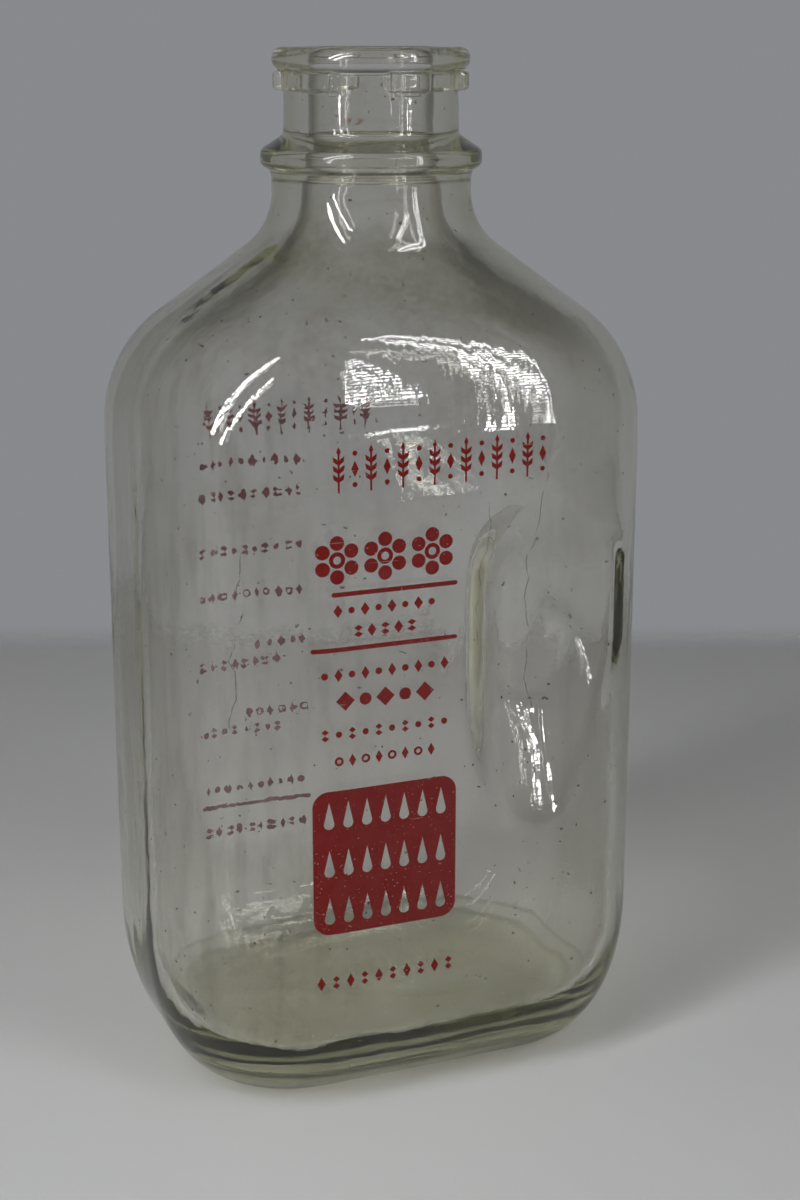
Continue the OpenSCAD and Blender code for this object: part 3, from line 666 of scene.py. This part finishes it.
def makeWorld():
    world = bpy.data.worlds.new("studioGrey")
    bpy.context.scene.world = world
    world.use_nodes = True
    tree = world.node_tree
    tree.nodes.clear()
    link = tree.links.new
    out = addNode(tree, "ShaderNodeOutputWorld")
    room = addNode(tree, "ShaderNodeBackground")
    room.inputs["Color"].default_value = (*studio["roomColour"], 1)
    wall = addNode(tree, "ShaderNodeBackground")
    wall.inputs["Color"].default_value = (*studio["wallColour"], 1)
    path = addNode(tree, "ShaderNodeLightPath")
    place = addNode(tree, "ShaderNodeTexCoord")
    height = addNode(tree, "ShaderNodeSeparateXYZ")
    link(place.outputs["Generated"], height.inputs["Vector"])
    dim = remap(tree, height.outputs["Z"], *studio["wallEnds"], 1, studio["aboveWall"])
    link(dim, wall.inputs["Strength"])
    away = addNode(tree, "ShaderNodeVectorMath", operation="DOT_PRODUCT")
    away.inputs[1].default_value = (studio["lookX"], studio["lookY"], 0)
    link(place.outputs["Generated"], away.inputs[0])
    behind = remap(tree, away.outputs["Value"], 0.0, 0.4)        # mirrored views of the same wall
    seen = combine(tree, "MULTIPLY", path.outputs["Is Glossy Ray"], behind)
    for ray in ("Is Camera Ray", "Is Transmission Ray"):
        seen = combine(tree, "MAXIMUM", seen, path.outputs[ray])
    blend = addNode(tree, "ShaderNodeMixShader")
    link(seen, blend.inputs["Fac"])
    link(room.outputs["Background"], blend.inputs[1])
    link(wall.outputs["Background"], blend.inputs[2])
    link(blend.outputs["Shader"], out.inputs["Surface"])


def studioPoint(across, near, height):        # across is to the camera's right, near is towards it
    towards = Vector((-studio["lookX"], -studio["lookY"], 0))
    right = Vector((studio["lookY"], -studio["lookX"], 0))
    return right * across + towards * near + Vector((0, 0, height))


def addLamp(name, place, along, width, length, radiance):        # along is the direction of the lamp's length
    data = bpy.data.lights.new(name, "AREA")
    data.shape = "RECTANGLE"
    data.size, data.size_y = width, length
    data.energy = radiance * math.pi * width * length
    back = (place - Vector((0, 0, 0.13))).normalized()
    right = along.cross(back).normalized()
    up = back.cross(right)
    lamp = bpy.data.objects.new(name, data)
    lamp.matrix_world = Matrix((right, up, back)).transposed().to_4x4()
    lamp.location = place
    bpy.context.scene.collection.objects.link(lamp)
    return lamp


def dotRow(tree, position, count):        # a row of soft dots from 0 to 1
    wave = combine(tree, "COSINE", combine(tree, "MULTIPLY", position, 2 * math.pi * count))
    return remap(tree, wave, 0.6, -0.6)


def stripLamp(name, low, high, width, radiance, rows=2):        # low and high are its two ends
    a, b = studioPoint(*low), studioPoint(*high)
    lamp = addLamp(name, (a + b) / 2, b - a, width, (b - a).length, radiance)
    lamp.data.use_nodes = True
    tree = lamp.data.node_tree
    tree.nodes.clear()
    place = addNode(tree, "ShaderNodeNewGeometry")
    along = addNode(tree, "ShaderNodeSeparateXYZ")
    tree.links.new(place.outputs["Parametric"], along.inputs["Vector"])
    count = round((b - a).length / studio["dotPitch"])
    long, wide = dotRow(tree, along.outputs["Y"], count), dotRow(tree, along.outputs["X"], rows)
    dots = combine(tree, "MULTIPLY", long, wide)
    bright = combine(tree, "ADD", combine(tree, "MULTIPLY", dots, studio["dotPeak"]), studio["dotGap"])
    shine = addNode(tree, "ShaderNodeEmission")
    out = addNode(tree, "ShaderNodeOutputLight")
    tree.links.new(bright, shine.inputs["Strength"])
    tree.links.new(shine.outputs["Emission"], out.inputs["Surface"])
    return lamp


makeTable()
makeWorld()
stripLamp("leftOuterStrip", (-0.475, 0.42, 0.2), (-0.285, 0.42, 0.9), width=0.042, radiance=34)
stripLamp("leftInnerStrip", (-0.385, 0.42, 0.17), (-0.152, 0.42, 0.58), width=0.024, radiance=29)
stripLamp("rightOuterStrip", (0.525, 0.42, 0.08), (0.585, 0.42, 0.95), width=0.065, radiance=9)
stripLamp("rightInnerStrip", (0.445, 0.42, 0.1), (0.5, 0.42, 0.58), width=0.01, radiance=22, rows=1)
stripLamp("rightShortStrip", (0.36, 0.42, 0.3), (0.345, 0.42, 0.6), width=0.055, radiance=9, rows=3)
stripLamp("rightLowPatch", (0.365, 0.42, 0.15), (0.365, 0.42, 0.175), width=0.06, radiance=4, rows=1)
print("studio set")

camera = bpy.data.cameras.new("camera")
camera.sensor_width = studio["sensor"]
camera.lens = studio["lens"]
eye = bpy.data.objects.new("camera", camera)
eye.location = studio["cameraPlace"]
down = math.radians(studio["cameraDown"])
aim = Vector((studio["lookX"] * math.cos(down), studio["lookY"] * math.cos(down), -math.sin(down)))
eye.rotation_euler = aim.to_track_quat("-Z", "Y").to_euler()
bpy.context.scene.collection.objects.link(eye)
bpy.context.scene.camera = eye
bpy.context.scene.view_settings.view_transform = "Standard"
cycles = bpy.context.scene.cycles        # light turns many times inside thick glass
cycles.max_bounces, cycles.transmission_bounces, cycles.glossy_bounces = 24, 24, 16
